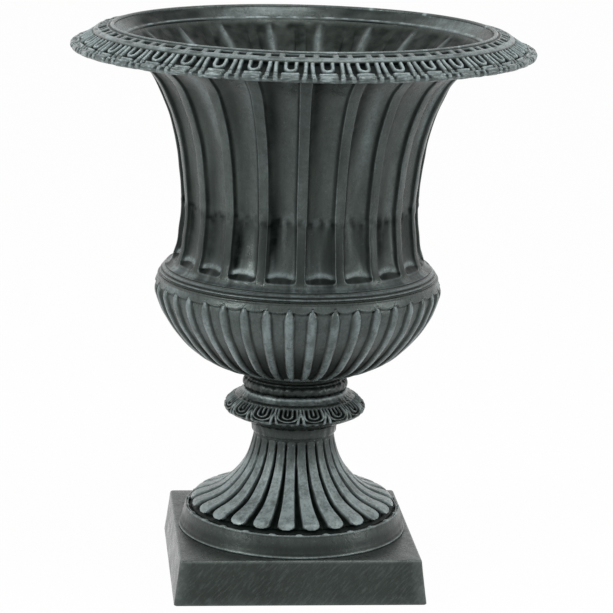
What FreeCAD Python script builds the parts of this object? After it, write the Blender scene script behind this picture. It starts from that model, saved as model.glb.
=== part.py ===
import FreeCAD, Part
import math
import os

# Urn planter: a bell-shaped garden urn in cast iron, bolted up from seven castings.
# Millimetres, +Z up. The origin is the centre of the square that the plinth stands on.
# From the ground up: plinth, foot, collar, neck ring, bowl, bell and rim.
# Each casting is drawn from its own base upwards and then lifted onto the one below.

# ---------------------------------------------------------------- driving dimensions
# Plinth: a hollow square casting, open below, with one large hole in its top plate
plinth_height = 48.0
plinth_bottom_width = 270.0
plinth_top_width = 258.0
plinth_wall = 8.0
plinth_plate = 8.0
plinth_corner = 3.0
plinth_bevel = 1.2
plinth_hole_radius = 86.0

# Foot: a round base ring, a sweeping hollow stem with raised lobes, and a plain neck
foot_height = 120.0
foot_wall = 5.0
foot_ring_low_radius = 123.4
foot_ring_top_radius = 118.3
foot_ring_height = 24.0
foot_ring_step = 1.8
foot_bead = 1.2
foot_bead_height = 2.6
foot_flange = 7.0
foot_flange_bore = 88.0
lobe_count = 25
lobe_relief = 4.0
lobe_tip_radius = 111.5
lobe_tip_height = 29.0
lobe_crest_radius = 108.0
lobe_crest_height = 34.5
lobe_share = 0.66
valley_end_gap = 4.0
neck_radius = 44.5
neck_height = 102.0
neck_top_radius = 47.0
neck_web = 12.0
foot_turn = 2.6

# Collar: the round knop that carries the egg-and-dart carving
collar_height = 38.0
collar_radius = 77.2
collar_widest_height = 17.0
collar_top_radius = 57.0

# Neck ring: a plain half-round ring between the collar and the bowl
neck_ring_height = 14.0
neck_ring_radius = 57.5
neck_ring_end_radius = 51.0

# The stem's pieces line up on spigots in one common bore
stem_bore_radius = 28.0
spigot_clearance = 0.3
spigot_depth = 6.0
spigot_wall = 5.5

# Bowl: the rounded lower body with narrow upright ribs
bowl_height = 114.0
bowl_wall = 5.0
bowl_base_radius = 50.0
bowl_bead_radius = 54.0
bowl_bead_height = 7.0
bowl_radius = 155.8
bowl_widest_height = 98.0
bowl_top_radius = 149.0
bowl_fullness = 1.66
rib_count = 40
rib_relief = 4.0
rib_share = 0.5
rib_top_height = 100.0
bowl_turn = 0.8

# Bell: the tall fluted body, narrow at its waist and flaring to the rim
bell_height = 250.0
bell_wall = 5.0
bell_bead_radius = 150.3
bell_bead_height = 5.6
bell_bead_edge = 1.0
bell_groove = 5.0
bell_skirt_radius = 135.3
bell_skirt_height = 18.0
bell_waist_radius = 127.6
bell_waist_height = 77.0
bell_mouth_radius = 191.5
bell_mouth_bore = 189.0
flute_count = 20
flute_depth = 7.0
flute_fillet = 9.5
flute_corner_share = 0.6
flute_foot_height = 15.0
flute_foot_slope = 0.9
flute_end_gap = 6.0
bell_turn = 4.9

# Flanges inside the body, where bowl and bell are bolted together
flange_thickness = 5.0
flange_bore_radius = 113.0
flange_bolt_radius = 124.0
flange_bolt_count = 4

# Rim: a rolled lip with a sloping band and a rounded edge, screwed on from beneath
rim_height = 16.0
rim_radius = 247.7
rim_edge_radius = 4.0
rim_edge_drop = 6.2
rim_lip_radius = 203.0
rim_lip_width = 5.0
rim_lip_step = 1.0
rim_shoulder_radius = 218.0
rim_shoulder_height = 11.6
rim_seat_radius = 213.0
rim_flange_radius = 210.0
rim_flange = 6.0
rim_screw_radius = 200.0
rim_screw_count = 8
rim_thread_depth = 9.0

# Carving sunk into the rim: round-ended eggs in raised loops, fields beside the darts,
# and a row of wide and narrow windows inside the ridge
egg_count = 40
egg_turn = 0.7
egg_band_radius = 224.5
egg_depth = 3.0
egg_width = 7.0
egg_length = 11.5
egg_loop_width = 13.0
egg_loop_taper = (0.9, 0.68)
egg_field_length = 15.0
dart_width = 9.8
dart_flare = 0.8
window_radius = 209.6
window_length = 7.4
window_depth = 2.6
wide_window = 12.6
narrow_window = 6.9

# Centre rod and its nuts and washers
rod_diameter = 12.0
rod_nut_flats = 19.0
rod_nut_height = 10.0
rod_washer_radius = 12.0
rod_washer_thickness = 2.5
rod_thread_end = 3.5

# Bolts of the plinth and of the body's flanges
bolt_diameter = 8.0
bolt_flats = 13.0
bolt_head_height = 5.3
bolt_nut_height = 6.5
bolt_washer_radius = 8.0
bolt_washer_thickness = 1.6
bolt_thread_end = 3.0
plinth_bolt_radius = 99.0
plinth_bolt_count = 4

# Screws of the rim
screw_diameter = 6.0
screw_flats = 10.0
screw_head_height = 4.0
screw_washer_radius = 6.0
screw_washer_thickness = 1.6
screw_tip_gap = 1.0

# Drain holes through the floor of the bowl and the web of the neck
drain_count = 4
drain_radius = 4.0
drain_circle_radius = 17.0

# Fits: room round a bolt in its hole, and round a thread in its nut
hole_clearance = 0.75
thread_clearance = 0.1

# Shapes of the free curves, as shares of the height and of the spread in radius
stem_curve = [(0.155, 0.55), (0.35, 0.335), (0.56, 0.168), (0.77, 0.068)]
collar_under_curve = [(0.24, 0.23), (0.54, 0.66), (0.82, 0.93)]
collar_over_curve = [(0.26, 0.16), (0.62, 0.66)]
skirt_curve = (0.475, 0.70)
flare_curve = [(0.234, 0.055), (0.533, 0.21), (0.82, 0.55), (0.928, 0.866)]
bowl_bead_slope = (0.3, 0.6)
bowl_shoulder_back = 0.3
bell_band_back = 0.6
hexagon_bevel = 0.6
thread_end_bevel = 0.12

# How many cross-sections carry a channel along its curve, and points a free curve
valley_sections = 7
rib_sections = 8
flute_sections = 10
bowl_crest_points = 9

# How far a cut runs past the surface that it opens
cut_margin = 1.0
flute_rise = 2.0
flute_side_margin = 1.0
flute_side_lean = 2.8
flute_hollow_margin = 3.0
flute_hollow_lean = 2.2

# ---------------------------------------------------------------- heights of the stack
foot_base = plinth_height
collar_base = foot_base + foot_height
neck_ring_base = collar_base + collar_height
bowl_base = neck_ring_base + neck_ring_height
bell_base = bowl_base + bowl_height
rim_base = bell_base + bell_height

spigot_radius = stem_bore_radius - spigot_clearance
rod_hole_radius = rod_diameter / 2 + hole_clearance
bolt_hole_radius = bolt_diameter / 2 + hole_clearance
screw_hole_radius = screw_diameter / 2 + hole_clearance
bowl_floor = bowl_bead_height + rib_relief + bowl_wall


# ---------------------------------------------------------------- outlines and solids
def at(radius, height):
    """A point of an outline, in the plane that is turned about the axis."""
    return FreeCAD.Vector(radius, 0, height)


def smooth_curve(points):
    """One smooth curve through (radius, height) points, drawn upwards."""
    curve = Part.BSplineCurve()
    curve.interpolate([at(radius, height) for radius, height in points])
    return curve


def outward(curve, place):
    """The direction square to a curve that is drawn upwards, away from the axis."""
    tangent = curve.tangent(place)[0]
    return FreeCAD.Vector(tangent.z, 0, -tangent.x)


def inner_curve(curve, points, thickness):
    """The curve one wall thickness inside another, through as many points."""
    moved = []
    for radius, height in points:
        place = curve.parameter(at(radius, height))
        point = curve.value(place) - outward(curve, place) * thickness
        moved.append((point.x, point.z))
    return smooth_curve(moved)


def place_at_height(curve, height):
    """The place along an upward curve where it passes a height, by halving."""
    low, high = curve.FirstParameter, curve.LastParameter
    for _ in range(40):
        middle = (low + high) / 2
        if curve.value(middle).z < height:
            low = middle
        else:
            high = middle
    return (low + high) / 2


def line(start, end):
    return Part.LineSegment(start, end).toShape()


def arc(start, middle, end):
    return Part.Arc(start, middle, end).toShape()


def polyline(points):
    """Straight edges from point to point."""
    return [line(points[i], points[i + 1]) for i in range(len(points) - 1)]


def turned(edges):
    """The solid that a closed outline sweeps in a full turn about the axis."""
    outline = Part.Wire(Part.__sortEdges__(edges))
    return Part.Face(outline).revolve(FreeCAD.Vector(), FreeCAD.Vector(0, 0, 1), 360)


def ring_of(shape, count, start_angle):
    """Copies of a shape, evenly spaced about the axis."""
    copies = []
    for i in range(count):
        copy = shape.copy()
        angle = start_angle + 360.0 * i / count
        copy.rotate(FreeCAD.Vector(), FreeCAD.Vector(0, 0, 1), angle)
        copies.append(copy)
    return copies


def upright_holes(radius, circle_radius, low, high, count, start_angle):
    """Straight holes on a circle, as solids to be cut away."""
    hole = Part.makeCylinder(radius, high - low, at(circle_radius, low))
    return ring_of(hole, count, start_angle)


def lifted(shape, height):
    """A casting moved from its own base to its height in the stack."""
    shape.translate(FreeCAD.Vector(0, 0, height))
    return shape


# ---------------------------------------------------------------- flutes, ribs and lobes
def across(point, normal, sideways, out):
    """A point beside and above a point of a curve, in the plane square to the curve."""
    return FreeCAD.Vector(point.x + normal.x * out, sideways, point.z + normal.z * out)


def hollow_section(point, normal, half_width, lean, corner_depth, depth, rise):
    """A trough with leaning sides and a rounded back, closed straight across above it."""
    left = across(point, normal, -half_width, rise)
    left_corner = across(point, normal, lean - half_width, -corner_depth)
    back = across(point, normal, 0, -depth)
    right_corner = across(point, normal, half_width - lean, -corner_depth)
    right = across(point, normal, half_width, rise)
    return Part.Wire([line(left, left_corner), arc(left_corner, back, right_corner),
                      line(right_corner, right), line(right, left)])


def channel_section(point, normal, half_width, depth, rise):
    """A flat-bottomed channel below the curve, closed straight across above it."""
    corners = [
        across(point, normal, -half_width, rise),
        across(point, normal, -half_width, -depth),
        across(point, normal, half_width, -depth),
        across(point, normal, half_width, rise),
    ]
    return Part.makePolygon(corners + corners[:1])


def channel(curve, places, half_width_at, depth, rise, run_out):
    """A channel along a curve: open below by run_out, with a round end at the top."""
    sections = []
    for place in places:
        point = curve.value(place)
        normal = outward(curve, place)
        sections.append(channel_section(point, normal, half_width_at(point.x), depth, rise))
    first = curve.value(places[0])
    normal = outward(curve, places[0])
    below = first - curve.tangent(places[0])[0] * run_out
    sections.insert(0, channel_section(below, normal, half_width_at(below.x), depth, rise))
    last = curve.value(places[-1])
    normal = outward(curve, places[-1])
    end = Part.makeCylinder(half_width_at(last.x), depth + rise, last - normal * depth, normal)
    return Part.makeLoft(sections, True, False).fuse(end)


def steps_between(start, end, count):
    """Evenly spaced values from start to end, both included."""
    return [start + (end - start) * i / (count - 1) for i in range(count)]


# ---------------------------------------------------------------- castings
def rounded_square(width, corner, height):
    """A square with rounded corners, level at a height."""
    half = width / 2
    square = Part.makePolygon([
        FreeCAD.Vector(-half, -half, height), FreeCAD.Vector(half, -half, height),
        FreeCAD.Vector(half, half, height), FreeCAD.Vector(-half, half, height),
        FreeCAD.Vector(-half, -half, height),
    ])
    prism = Part.Face(square).extrude(FreeCAD.Vector(0, 0, 1))
    upright = [edge for edge in prism.Edges if abs(edge.tangentAt(edge.FirstParameter).z) > 0.9]
    rounded = prism.makeFillet(corner, upright)
    level = [face for face in rounded.Faces if face.BoundBox.ZMax < height + 0.5]
    return level[0].OuterWire


def make_plinth():
    outside = Part.makeLoft([
        rounded_square(plinth_bottom_width, plinth_corner, 0),
        rounded_square(plinth_top_width, plinth_corner, plinth_height - plinth_bevel),
        rounded_square(plinth_top_width - 2 * plinth_bevel, plinth_corner, plinth_height),
    ], True, True)
    inside = Part.makeLoft([
        rounded_square(plinth_bottom_width - 2 * plinth_wall, plinth_corner, 0),
        rounded_square(plinth_top_width - 2 * plinth_wall, plinth_corner, plinth_height - plinth_plate),
    ], True, True)
    large_hole = Part.makeCylinder(plinth_hole_radius, plinth_height)
    bolt_holes = upright_holes(bolt_hole_radius, plinth_bolt_radius, 0, plinth_height,
                               plinth_bolt_count, plinth_bolt_angle())
    return outside.cut([inside, large_hole] + bolt_holes)


def plinth_bolt_angle():
    """The plinth's bolts lie towards its corners."""
    return 180.0 / plinth_bolt_count


def make_foot():
    spread = lobe_crest_radius - neck_radius
    rise = neck_height - lobe_crest_height
    crest = [(lobe_crest_radius, lobe_crest_height)]
    crest += [(neck_radius + spread * out, lobe_crest_height + rise * up) for up, out in stem_curve]
    crest += [(neck_radius, neck_height)]
    outer = smooth_curve(crest)
    inner = inner_curve(outer, crest, lobe_relief + foot_wall)
    inner_low = inner.value(inner.FirstParameter)
    inner_top = inner.value(inner.LastParameter)
    ring_bore = foot_ring_top_radius - foot_wall - foot_ring_step
    web_base = foot_height - neck_web
    edges = polyline([
        at(foot_flange_bore, 0),
        at(foot_ring_low_radius + foot_bead, 0),
        at(foot_ring_low_radius + foot_bead, foot_bead_height),
        at(foot_ring_low_radius, foot_bead_height + foot_bead),
        at(foot_ring_top_radius, foot_ring_height - foot_ring_step),
        at(foot_ring_top_radius - foot_ring_step, foot_ring_height),
        at(lobe_tip_radius, foot_ring_height),
        at(lobe_tip_radius, lobe_tip_height),
        at(lobe_crest_radius, lobe_crest_height),
    ])
    edges.append(outer.toShape())
    edges += polyline([
        at(neck_radius, neck_height),
        at(neck_top_radius, foot_height),
        at(spigot_radius, foot_height),
        at(spigot_radius, foot_height + spigot_depth),
        at(spigot_radius - spigot_wall, foot_height + spigot_depth),
        at(spigot_radius - spigot_wall, foot_height),
        at(rod_hole_radius, foot_height),
        at(rod_hole_radius, web_base),
        at(inner_top.x, web_base),
        inner_top,
    ])
    edges.append(inner.toShape())
    edges += polyline([
        inner_low,
        at(ring_bore, inner_low.z - foot_wall),
        at(ring_bore, foot_flange),
        at(foot_flange_bore, foot_flange),
        at(foot_flange_bore, 0),
    ])
    body = turned(edges)

    def half_valley(radius):
        return math.pi * radius / lobe_count * (1 - lobe_share)

    valley_top = place_at_height(outer, neck_height - valley_end_gap)
    places = steps_between(outer.FirstParameter, valley_top, valley_sections)
    valley = channel(outer, places, half_valley, lobe_relief, lobe_relief, lobe_relief * 2)
    valleys = ring_of(valley, lobe_count, foot_turn + 180.0 / lobe_count)
    bolt_holes = upright_holes(bolt_hole_radius, plinth_bolt_radius, 0, foot_flange,
                               plinth_bolt_count, plinth_bolt_angle())
    drains = upright_holes(drain_radius, drain_circle_radius, web_base, foot_height,
                           drain_count, plinth_bolt_angle())
    return lifted(body.cut(valleys + bolt_holes + drains), foot_base)


def make_collar():
    under_spread = collar_radius - neck_top_radius
    over_spread = collar_radius - collar_top_radius
    over_rise = collar_height - collar_widest_height
    points = [(neck_top_radius, 0)]
    points += [(neck_top_radius + under_spread * out, collar_widest_height * up)
               for up, out in collar_under_curve]
    points += [(collar_radius, collar_widest_height)]
    points += [(collar_radius - over_spread * back, collar_widest_height + over_rise * up)
               for up, back in collar_over_curve]
    points += [(collar_top_radius, collar_height)]
    outer = smooth_curve(points)
    edges = [outer.toShape()]
    edges += polyline([
        at(collar_top_radius, collar_height),
        at(stem_bore_radius, collar_height),
        at(stem_bore_radius, 0),
        at(neck_top_radius, 0),
    ])
    return lifted(turned(edges), collar_base)


def make_neck_ring():
    edges = polyline([
        at(neck_ring_end_radius, neck_ring_height),
        at(stem_bore_radius, neck_ring_height),
        at(stem_bore_radius, 0),
        at(neck_ring_end_radius, 0),
    ])
    edges.append(arc(at(neck_ring_end_radius, 0),
                     at(neck_ring_radius, neck_ring_height / 2),
                     at(neck_ring_end_radius, neck_ring_height)))
    return lifted(turned(edges), neck_ring_base)


def bowl_crest():
    """The bowl's swelling, a rounded quarter from its bead to its widest point."""
    spread = bowl_radius - bowl_bead_radius
    rise = bowl_widest_height - bowl_bead_height
    power = 2 / bowl_fullness
    points = []
    for angle in steps_between(0, math.pi / 2, bowl_crest_points):
        out = math.sin(angle) ** power
        up = 1 - max(math.cos(angle), 0) ** power
        points.append((bowl_bead_radius + spread * out, bowl_bead_height + rise * up))
    return points


def make_bowl():
    crest = bowl_crest()
    outer = smooth_curve(crest)
    inner = inner_curve(outer, crest, rib_relief + bowl_wall)
    inner_low = inner.value(inner.FirstParameter)
    inner_top = inner.value(inner.LastParameter)
    spigot_end = -(neck_ring_height + spigot_depth)
    flange_base = bowl_height - flange_thickness
    shoulder_radius = bowl_radius - (bowl_radius - bowl_top_radius) * bowl_shoulder_back
    shoulder = at(shoulder_radius, (bowl_widest_height + bowl_height) / 2)
    bead_low, bead_high = bowl_bead_slope
    edges = polyline([
        at(rod_hole_radius, bowl_floor),
        at(rod_hole_radius, 0),
        at(spigot_radius - spigot_wall, 0),
        at(spigot_radius - spigot_wall, spigot_end),
        at(spigot_radius, spigot_end),
        at(spigot_radius, 0),
        at(bowl_base_radius, 0),
        at(bowl_base_radius, bowl_bead_height * bead_low),
        at(bowl_bead_radius, bowl_bead_height * bead_high),
        at(bowl_bead_radius, bowl_bead_height),
    ])
    edges.append(outer.toShape())
    edges.append(arc(at(bowl_radius, bowl_widest_height), shoulder, at(bowl_top_radius, bowl_height)))
    edges += polyline([
        at(bowl_top_radius, bowl_height),
        at(flange_bore_radius, bowl_height),
        at(flange_bore_radius, flange_base),
        at(bowl_top_radius - bowl_wall, flange_base),
        inner_top,
    ])
    edges.append(inner.toShape())
    edges += polyline([
        inner_low,
        at(rod_hole_radius, bowl_floor),
    ])
    body = turned(edges)

    def half_valley(radius):
        return math.pi * radius / rib_count * (1 - rib_share)

    places = steps_between(place_at_height(outer, bowl_bead_height + rib_relief),
                           place_at_height(outer, rib_top_height - half_valley(bowl_radius)),
                           rib_sections)
    valley = channel(outer, places, half_valley, rib_relief, rib_relief, rib_relief)
    valleys = ring_of(valley, rib_count, bowl_turn + 180.0 / rib_count)
    bolt_holes = upright_holes(bolt_hole_radius, flange_bolt_radius, flange_base, bowl_height,
                               flange_bolt_count, flange_bolt_angle())
    drains = upright_holes(drain_radius, drain_circle_radius, 0, bowl_floor,
                           drain_count, plinth_bolt_angle())
    return lifted(body.cut(valleys + bolt_holes + drains), bowl_base)


def flange_bolt_angle():
    """The flange bolts stand below the flat strips between flutes."""
    return bell_turn + 180.0 / flute_count


def bell_side():
    """The bell's side from its skirt, in at the waist, and out to the mouth."""
    flare_rise = bell_height - rim_flange - bell_waist_height
    flare_spread = bell_mouth_radius - bell_waist_radius
    skirt_up, skirt_out = skirt_curve
    points = [
        (bell_skirt_radius, bell_skirt_height),
        (bell_waist_radius + (bell_skirt_radius - bell_waist_radius) * (1 - skirt_out),
         bell_skirt_height + (bell_waist_height - bell_skirt_height) * skirt_up),
        (bell_waist_radius, bell_waist_height),
    ]
    for up, out in flare_curve:
        points.append((bell_waist_radius + flare_spread * out, bell_waist_height + flare_rise * up))
    points.append((bell_mouth_radius, bell_height - rim_flange))
    return points


def flute(curve, offset):
    """One flute, or with an offset the hollow that leaves a wall behind it."""
    top = place_at_height(curve, bell_height - rim_flange - flute_end_gap)
    places = steps_between(curve.FirstParameter, top, flute_sections)
    rise = flute_rise - offset
    margin, lean = flute_side_margin, flute_side_lean
    if offset > 0:
        margin, lean = flute_hollow_margin, flute_hollow_lean
    sections = []
    for place in places:
        point = curve.value(place)
        half_width = math.pi * point.x / flute_count - flute_fillet / 2 + margin
        sections.append(hollow_section(point, outward(curve, place), half_width, lean,
                                       flute_depth * flute_corner_share + offset,
                                       flute_depth + offset, rise))
    trough = Part.makeLoft(sections, True, False)
    reach = flute_depth + offset + rise + bell_wall
    start = at(bell_skirt_radius, flute_foot_height - offset * math.hypot(1, flute_foot_slope))
    below = Part.makePolygon([
        start + FreeCAD.Vector(reach, 0, -reach * flute_foot_slope),
        start + FreeCAD.Vector(-reach * 2, 0, reach * 2 * flute_foot_slope),
        start + FreeCAD.Vector(-reach * 2, 0, -reach * 2),
        start + FreeCAD.Vector(reach, 0, -reach * 2),
        start + FreeCAD.Vector(reach, 0, -reach * flute_foot_slope),
    ])
    block = Part.Face(below).extrude(FreeCAD.Vector(0, bell_skirt_radius, 0))
    block.translate(FreeCAD.Vector(0, -bell_skirt_radius / 2, 0))
    return trough.cut(block)


def make_bell():
    side = bell_side()
    outer = smooth_curve(side)
    inner = inner_curve(outer, side, bell_wall)
    inner_low = inner.value(inner.FirstParameter)
    inner_top = inner.value(inner.LastParameter)
    groove_radius = bell_bead_radius - bell_groove
    band_radius = groove_radius - (groove_radius - bell_skirt_radius) * bell_band_back
    band = arc(at(groove_radius, bell_bead_height),
               at(band_radius, (bell_bead_height + bell_skirt_height) / 2),
               at(bell_skirt_radius, bell_skirt_height))
    bead_top = at(bowl_top_radius - bell_bead_edge, bell_bead_height - bell_bead_edge)
    bead = arc(at(bowl_top_radius, 0), at(bell_bead_radius, bell_bead_height / 2), bead_top)
    foot_of_bell = polyline([bead_top, at(groove_radius, bell_bead_height)])
    crown = polyline([
        at(bell_mouth_radius, bell_height - rim_flange),
        at(rim_flange_radius, bell_height - rim_flange),
        at(rim_flange_radius, bell_height),
    ])
    outside = turned([bead, band, outer.toShape()] + foot_of_bell + crown + polyline([
        at(rim_flange_radius, bell_height),
        at(0, bell_height),
        at(0, 0),
        at(bowl_top_radius, 0),
    ]))
    inside = turned([inner.toShape()] + polyline([
        inner_low,
        at(groove_radius - bell_wall, flange_thickness),
        at(flange_bore_radius, flange_thickness),
        at(flange_bore_radius, -cut_margin),
        at(0, -cut_margin),
        at(0, bell_height + cut_margin),
        at(bell_mouth_bore, bell_height + cut_margin),
        at(bell_mouth_bore, bell_height),
        inner_top,
    ]))
    flutes = ring_of(flute(outer, 0), flute_count, bell_turn)
    ribs_inside = ring_of(flute(outer, bell_wall), flute_count, bell_turn)
    bolt_holes = upright_holes(bolt_hole_radius, flange_bolt_radius, 0, flange_thickness,
                               flange_bolt_count, flange_bolt_angle())
    screw_holes = upright_holes(screw_hole_radius, rim_screw_radius, bell_height - rim_flange,
                                bell_height, rim_screw_count, 0)
    core = inside.cut(ribs_inside)
    return lifted(outside.cut(flutes).cut([core] + bolt_holes + screw_holes), bell_base)


def slope_point(start, down, sideways, distance):
    """A point on a straight slope of the rim, so far down it and to one side."""
    return start + down * distance + FreeCAD.Vector(0, sideways, 0)


def sunk(edges, down, depth):
    """A pocket square to a slope of the rim, from an outline drawn on the slope."""
    normal = FreeCAD.Vector(-down.z, 0, down.x)
    outline = Part.Face(Part.Wire(edges))
    outline.translate(normal * cut_margin)
    return outline.extrude(normal * -(depth + cut_margin))


def sunk_polygon(start, down, corners, depth):
    """A pocket with straight sides, from (sideways, down) corners on the slope."""
    points = [slope_point(start, down, sideways, distance) for sideways, distance in corners]
    return sunk(polyline(points + points[:1]), down, depth)


def rim_carving(lip_end, shoulder, edge_top):
    """All the pockets of the rim: the eggs and the fields beside them, and the windows."""
    down = (edge_top - shoulder).normalize()
    start = shoulder + down * ((egg_band_radius - shoulder.x) / down.x)
    half = egg_width / 2
    straight = egg_length - half
    corners = [slope_point(start, down, *place) for place in [
        (-half, 0), (-half, straight), (0, egg_length), (half, straight), (half, 0)]]
    egg = sunk([line(corners[0], corners[1]), arc(corners[1], corners[2], corners[3]),
                line(corners[3], corners[4]), line(corners[4], corners[0])], down, egg_depth)

    def field(side):
        """The sunk field between a loop and the darts on one side of it."""
        bottom = start + down * egg_field_length
        dart_top = math.pi * start.x / egg_count - dart_width / 2
        dart_low = math.pi * bottom.x / egg_count - dart_width / 2 - dart_flare
        loop = egg_loop_width / 2
        loop_bend, loop_low = [loop * share for share in egg_loop_taper]
        outline = [(loop, 0), (dart_top, 0), (dart_low, egg_field_length),
                   (loop_low, egg_field_length), (loop_bend, egg_length), (loop, straight)]
        return sunk_polygon(start, down, [(side * out, low) for out, low in outline], egg_depth)

    flat = (shoulder - lip_end).normalize()
    window_start = lip_end + flat * ((window_radius - lip_end.x) / flat.x)

    def window(width):
        """A window of the row between the lip and the ridge."""
        side = width / 2
        outline = [(-side, 0), (side, 0), (side, window_length), (-side, window_length)]
        return sunk_polygon(window_start, flat, outline, window_depth)

    pockets = []
    for pocket in [egg, field(-1), field(1), window(wide_window)]:
        pockets += ring_of(pocket, egg_count, egg_turn)
    return pockets + ring_of(window(narrow_window), egg_count, egg_turn + 180.0 / egg_count)


def make_rim():
    edge_centre = at(rim_radius - rim_edge_radius, -rim_edge_drop)
    diagonal = rim_edge_radius * math.sqrt(0.5)
    edge_top = edge_centre + FreeCAD.Vector(-diagonal, 0, diagonal)
    edge_bottom = edge_centre + FreeCAD.Vector(-diagonal, 0, -diagonal)
    shoulder = at(rim_shoulder_radius, rim_shoulder_height)
    lip_low = rim_height - rim_lip_width / 2
    lip_end = at(rim_lip_radius + rim_lip_width / 2, lip_low + rim_lip_step)
    lip = arc(at(rim_lip_radius - rim_lip_width / 2, lip_low), at(rim_lip_radius, rim_height), lip_end)
    edge = arc(edge_top, edge_centre + FreeCAD.Vector(rim_edge_radius, 0, 0), edge_bottom)
    edges = [lip, edge]
    edges += polyline([
        lip_end,
        shoulder,
        edge_top,
    ])
    edges += polyline([
        edge_bottom,
        at(rim_seat_radius, 0),
        at(bell_mouth_bore, 0),
        at(rim_lip_radius - rim_lip_width / 2, lip_low),
    ])
    threads = upright_holes(screw_diameter / 2 + thread_clearance, rim_screw_radius, 0,
                            rim_thread_depth, rim_screw_count, 0)
    body = turned(edges).cut(threads)
    return lifted(body.cut(rim_carving(lip_end, shoulder, edge_top)), rim_base)


# ---------------------------------------------------------------- fasteners
def hexagon(flats, height):
    """A hexagonal prism with its two faces bevelled, standing on z = 0."""
    corner_radius = flats / math.sqrt(3)
    corners = []
    for i in range(7):
        angle = math.radians(60 * i)
        corners.append(FreeCAD.Vector(corner_radius * math.cos(angle), corner_radius * math.sin(angle), 0))
    prism = Part.Face(Part.makePolygon(corners)).extrude(FreeCAD.Vector(0, 0, height))
    bevel = (corner_radius - flats / 2) * hexagon_bevel
    round_edge = turned(polyline([
        at(0, 0), at(flats / 2, 0), at(corner_radius, bevel), at(corner_radius, height - bevel),
        at(flats / 2, height), at(0, height), at(0, 0),
    ]))
    return prism.common(round_edge)


def make_nut(flats, height, thread_diameter):
    return hexagon(flats, height).cut(
        Part.makeCylinder(thread_diameter / 2 + thread_clearance, height))


def make_washer(radius, thickness, thread_diameter):
    hole = Part.makeCylinder(thread_diameter / 2 + hole_clearance / 2, thickness)
    return Part.makeCylinder(radius, thickness).cut(hole)


def make_shank(diameter, length):
    """A threaded shank from z = 0 upwards, bevelled at its far end."""
    bevel = diameter * thread_end_bevel
    return turned(polyline([
        at(0, 0), at(diameter / 2, 0), at(diameter / 2, length - bevel),
        at(diameter / 2 - bevel, length), at(0, length), at(0, 0),
    ]))


def make_bolt(diameter, flats, head_height, length):
    """A bolt that stands on its head: the head's seat is at z = 0, the shank goes up."""
    head = hexagon(flats, head_height)
    head.translate(FreeCAD.Vector(0, 0, -head_height))
    return head.fuse(make_shank(diameter, length)).removeSplitter()


def set_on_circle(shape, circle_radius, height, count, start_angle):
    """A fastener repeated round a circle, as one group of separate solids."""
    shape.translate(at(circle_radius, height))
    return Part.makeCompound(ring_of(shape, count, start_angle))


def upside_down(shape):
    shape.rotate(FreeCAD.Vector(), FreeCAD.Vector(1, 0, 0), 180)
    return shape


def rod_pieces():
    """The centre rod clamps the whole stem between the neck's web and the bowl's floor."""
    web_base = collar_base - neck_web
    floor_top = bowl_base + bowl_floor
    low_washer = web_base - rod_washer_thickness
    low_nut = low_washer - rod_nut_height
    high_nut = floor_top + rod_washer_thickness
    rod_low = low_nut - rod_thread_end
    rod_high = high_nut + rod_nut_height + rod_thread_end
    middle = (rod_low + rod_high) / 2
    half = make_shank(rod_diameter, rod_high - middle)
    rod = half.fuse(upside_down(half.copy())).removeSplitter()
    washer = make_washer(rod_washer_radius, rod_washer_thickness, rod_diameter)
    nut = make_nut(rod_nut_flats, rod_nut_height, rod_diameter)
    return {
        "centre_rod": lifted(rod, middle),
        "rod_bottom_washer": lifted(washer.copy(), low_washer),
        "rod_bottom_nut": lifted(nut.copy(), low_nut),
        "rod_top_washer": lifted(washer.copy(), floor_top),
        "rod_top_nut": lifted(nut.copy(), high_nut),
    }


def plinth_fasteners():
    """Bolts up through the plinth's plate into the foot, nutted on the foot's flange."""
    plate_base = plinth_height - plinth_plate
    head_seat = plate_base - bolt_washer_thickness
    flange_top = foot_base + foot_flange
    length = flange_top + bolt_nut_height + bolt_thread_end - head_seat
    bolt = make_bolt(bolt_diameter, bolt_flats, bolt_head_height, length)
    washer = make_washer(bolt_washer_radius, bolt_washer_thickness, bolt_diameter)
    nut = make_nut(bolt_flats, bolt_nut_height, bolt_diameter)
    pattern = (plinth_bolt_count, plinth_bolt_angle())
    return {
        "plinth_bolts": set_on_circle(bolt, plinth_bolt_radius, head_seat, *pattern),
        "plinth_washers": set_on_circle(washer, plinth_bolt_radius, head_seat, *pattern),
        "plinth_nuts": set_on_circle(nut, plinth_bolt_radius, flange_top, *pattern),
    }


def flange_fasteners():
    """Bolts down through the bell's flange into the bowl's, washer and nut below."""
    head_seat = bell_base + flange_thickness
    washer_base = bell_base - flange_thickness - bolt_washer_thickness
    nut_base = washer_base - bolt_nut_height
    length = head_seat - nut_base + bolt_thread_end
    bolt = upside_down(make_bolt(bolt_diameter, bolt_flats, bolt_head_height, length))
    washer = make_washer(bolt_washer_radius, bolt_washer_thickness, bolt_diameter)
    nut = make_nut(bolt_flats, bolt_nut_height, bolt_diameter)
    pattern = (flange_bolt_count, flange_bolt_angle())
    return {
        "flange_bolts": set_on_circle(bolt, flange_bolt_radius, head_seat, *pattern),
        "flange_washers": set_on_circle(washer, flange_bolt_radius, washer_base, *pattern),
        "flange_nuts": set_on_circle(nut, flange_bolt_radius, nut_base, *pattern),
    }


def rim_fasteners():
    """Screws up through the bell's top flange into threads in the rim."""
    head_seat = rim_base - rim_flange - screw_washer_thickness
    length = rim_base + rim_thread_depth - screw_tip_gap - head_seat
    screw = make_bolt(screw_diameter, screw_flats, screw_head_height, length)
    washer = make_washer(screw_washer_radius, screw_washer_thickness, screw_diameter)
    return {
        "rim_screws": set_on_circle(screw, rim_screw_radius, head_seat, rim_screw_count, 0),
        "rim_washers": set_on_circle(washer, rim_screw_radius, head_seat, rim_screw_count, 0),
    }


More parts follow.
